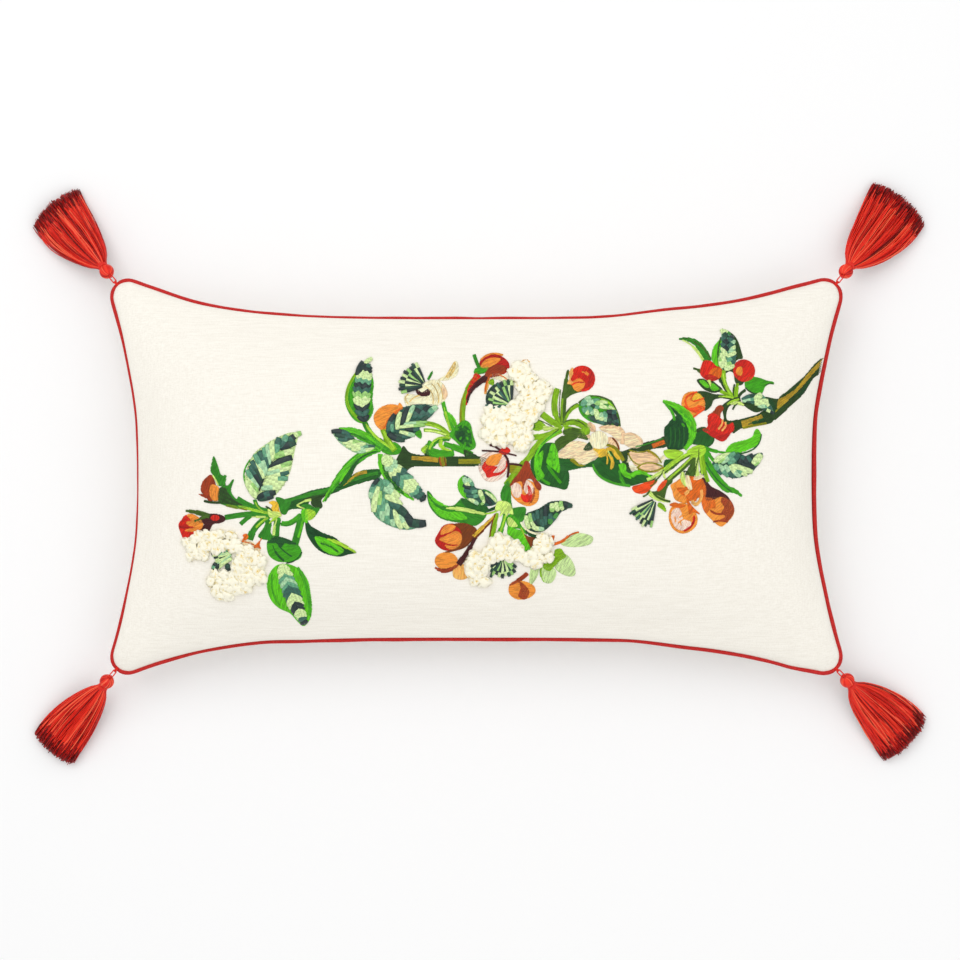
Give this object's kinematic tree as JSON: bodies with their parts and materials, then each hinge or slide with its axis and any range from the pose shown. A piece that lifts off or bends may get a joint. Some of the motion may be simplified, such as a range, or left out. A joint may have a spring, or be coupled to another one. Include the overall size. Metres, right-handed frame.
{
  "type": "throw pillow",
  "caption": "Oblong ivory throw pillow with an embroidered flowering branch, red piping and a red tassel at each corner.",
  "frame": {"origin": "centre of the flat patch that the cushion's back rests on", "axes": "+X across the long side to the right of the embroidered face, +Y up the face, +Z out of the embroidered face"},
  "size_m": [0.8163, 0.5232, 0.1194],
  "materials": {
    "ivory_cloth": "matt linen weave",
    "piping_cloth": "soft sheen",
    "white_cord": "matt",
    "backing_cloth": "matt",
    "ticking": "matt",
    "filling": "fluffy",
    "zip_tape": "matt",
    "ivory_thread": "soft sheen",
    "zip_nylon": "satin",
    "zip_metal": "satin",
    "branch_thread": "silky",
    "stem_thread": "silky",
    "leaf_thread": "silky",
    "green_ribbon": "satin ribbon",
    "cream_ribbon": "satin ribbon",
    "red_bud_thread": "silky",
    "orange_thread": "silky",
    "maroon_thread": "silky",
    "peach_thread": "silky",
    "tassel_thread": "silky",
    "binding_thread": "silky"
  },
  "bodies": {
    "cushion": {"front_panel": "ivory_cloth", "back_panel": "ivory_cloth", "piping_sleeve": "piping_cloth", "piping_cord": "white_cord", "embroidery_backing": "backing_cloth", "insert_front_ticking": "ticking", "insert_back_ticking": "ticking", "insert_filling": "filling", "zip_tape_upper": "zip_tape", "zip_tape_lower": "zip_tape", "zip_coil_upper": "zip_nylon", "zip_coil_lower": "zip_nylon", "zip_top_stop": "zip_nylon", "zip_bottom_stop": "zip_nylon", "zip_topstitching": "ivory_thread", "branch_stitching": "branch_thread", "stem_stitching": "stem_thread", "leaf_stitching": "leaf_thread", "ribbon_leaves": "green_ribbon", "ribbon_tufts": "green_ribbon", "ribbon_blossoms": "cream_ribbon", "red_bud_stitching": "red_bud_thread", "orange_bud_stitching": "orange_thread", "calyx_stitching": "maroon_thread", "petal_stitching": "peach_thread", "corner_eye_top_left": "binding_thread", "corner_eye_top_right": "binding_thread", "corner_eye_bottom_left": "binding_thread", "corner_eye_bottom_right": "binding_thread"},
    "zip_slider": {"zip_slider": "zip_metal"},
    "zip_pull": {"zip_pull": "zip_metal"},
    "loop_top_left": {"tassel_loop_top_left": "binding_thread"},
    "tassel_top_left": {"tassel_head_top_left": "tassel_thread", "tassel_binding_top_left": "binding_thread", "tassel_skirt_top_left": "tassel_thread"},
    "loop_top_right": {"tassel_loop_top_right": "binding_thread"},
    "tassel_top_right": {"tassel_head_top_right": "tassel_thread", "tassel_binding_top_right": "binding_thread", "tassel_skirt_top_right": "tassel_thread"},
    "loop_bottom_left": {"tassel_loop_bottom_left": "binding_thread"},
    "tassel_bottom_left": {"tassel_head_bottom_left": "tassel_thread", "tassel_binding_bottom_left": "binding_thread", "tassel_skirt_bottom_left": "tassel_thread"},
    "loop_bottom_right": {"tassel_loop_bottom_right": "binding_thread"},
    "tassel_bottom_right": {"tassel_head_bottom_right": "tassel_thread", "tassel_binding_bottom_right": "binding_thread", "tassel_skirt_bottom_right": "tassel_thread"}
  },
  "joints": [
    {"name": "zip_travel", "type": "slide", "parent": "cushion", "child": "zip_slider", "axis": [-1, 0, 0], "range_m": [0, 0.42]},
    {"name": "zip_pull_flip", "type": "hinge", "parent": "zip_slider", "child": "zip_pull", "pos_m": [0.21, -0.13004, 0.03038], "axis": [0, -0.6845, 0.729], "range_deg": [-90, 84]},
    {"name": "tassel_swing_top_left", "type": "hinge", "parent": "cushion", "child": "loop_top_left", "pos_m": [-0.32741, 0.17656, 0.04], "axis": [0, 0, 1], "range_deg": [-90, 90]},
    {"name": "tassel_lift_top_left", "type": "hinge", "parent": "loop_top_left", "child": "tassel_top_left", "pos_m": [-0.33159, 0.18154, 0.04], "axis": [0.766, 0.6428, 0], "range_deg": [0, 110]},
    {"name": "tassel_swing_top_right", "type": "hinge", "parent": "cushion", "child": "loop_top_right", "pos_m": [0.32746, 0.17652, 0.04], "axis": [0, 0, 1], "range_deg": [-90, 90]},
    {"name": "tassel_lift_top_right", "type": "hinge", "parent": "loop_top_right", "child": "tassel_top_right", "pos_m": [0.3317, 0.18145, 0.04], "axis": [0.7581, -0.6521, 0], "range_deg": [0, 110]},
    {"name": "tassel_swing_bottom_left", "type": "hinge", "parent": "cushion", "child": "loop_bottom_left", "pos_m": [-0.32733, -0.17662, 0.04], "axis": [0, 0, 1], "range_deg": [-90, 90]},
    {"name": "tassel_lift_bottom_left", "type": "hinge", "parent": "loop_bottom_left", "child": "tassel_bottom_left", "pos_m": [-0.33143, -0.18167, 0.04], "axis": [-0.7771, 0.6293, 0], "range_deg": [0, 110]},
    {"name": "tassel_swing_bottom_right", "type": "hinge", "parent": "cushion", "child": "loop_bottom_right", "pos_m": [0.32749, -0.17649, 0.04], "axis": [0, 0, 1], "range_deg": [-90, 90]},
    {"name": "tassel_lift_bottom_right", "type": "hinge", "parent": "loop_bottom_right", "child": "tassel_bottom_right", "pos_m": [0.33177, -0.18138, 0.04], "axis": [-0.7524, -0.6587, 0], "range_deg": [0, 110]}
  ]
}
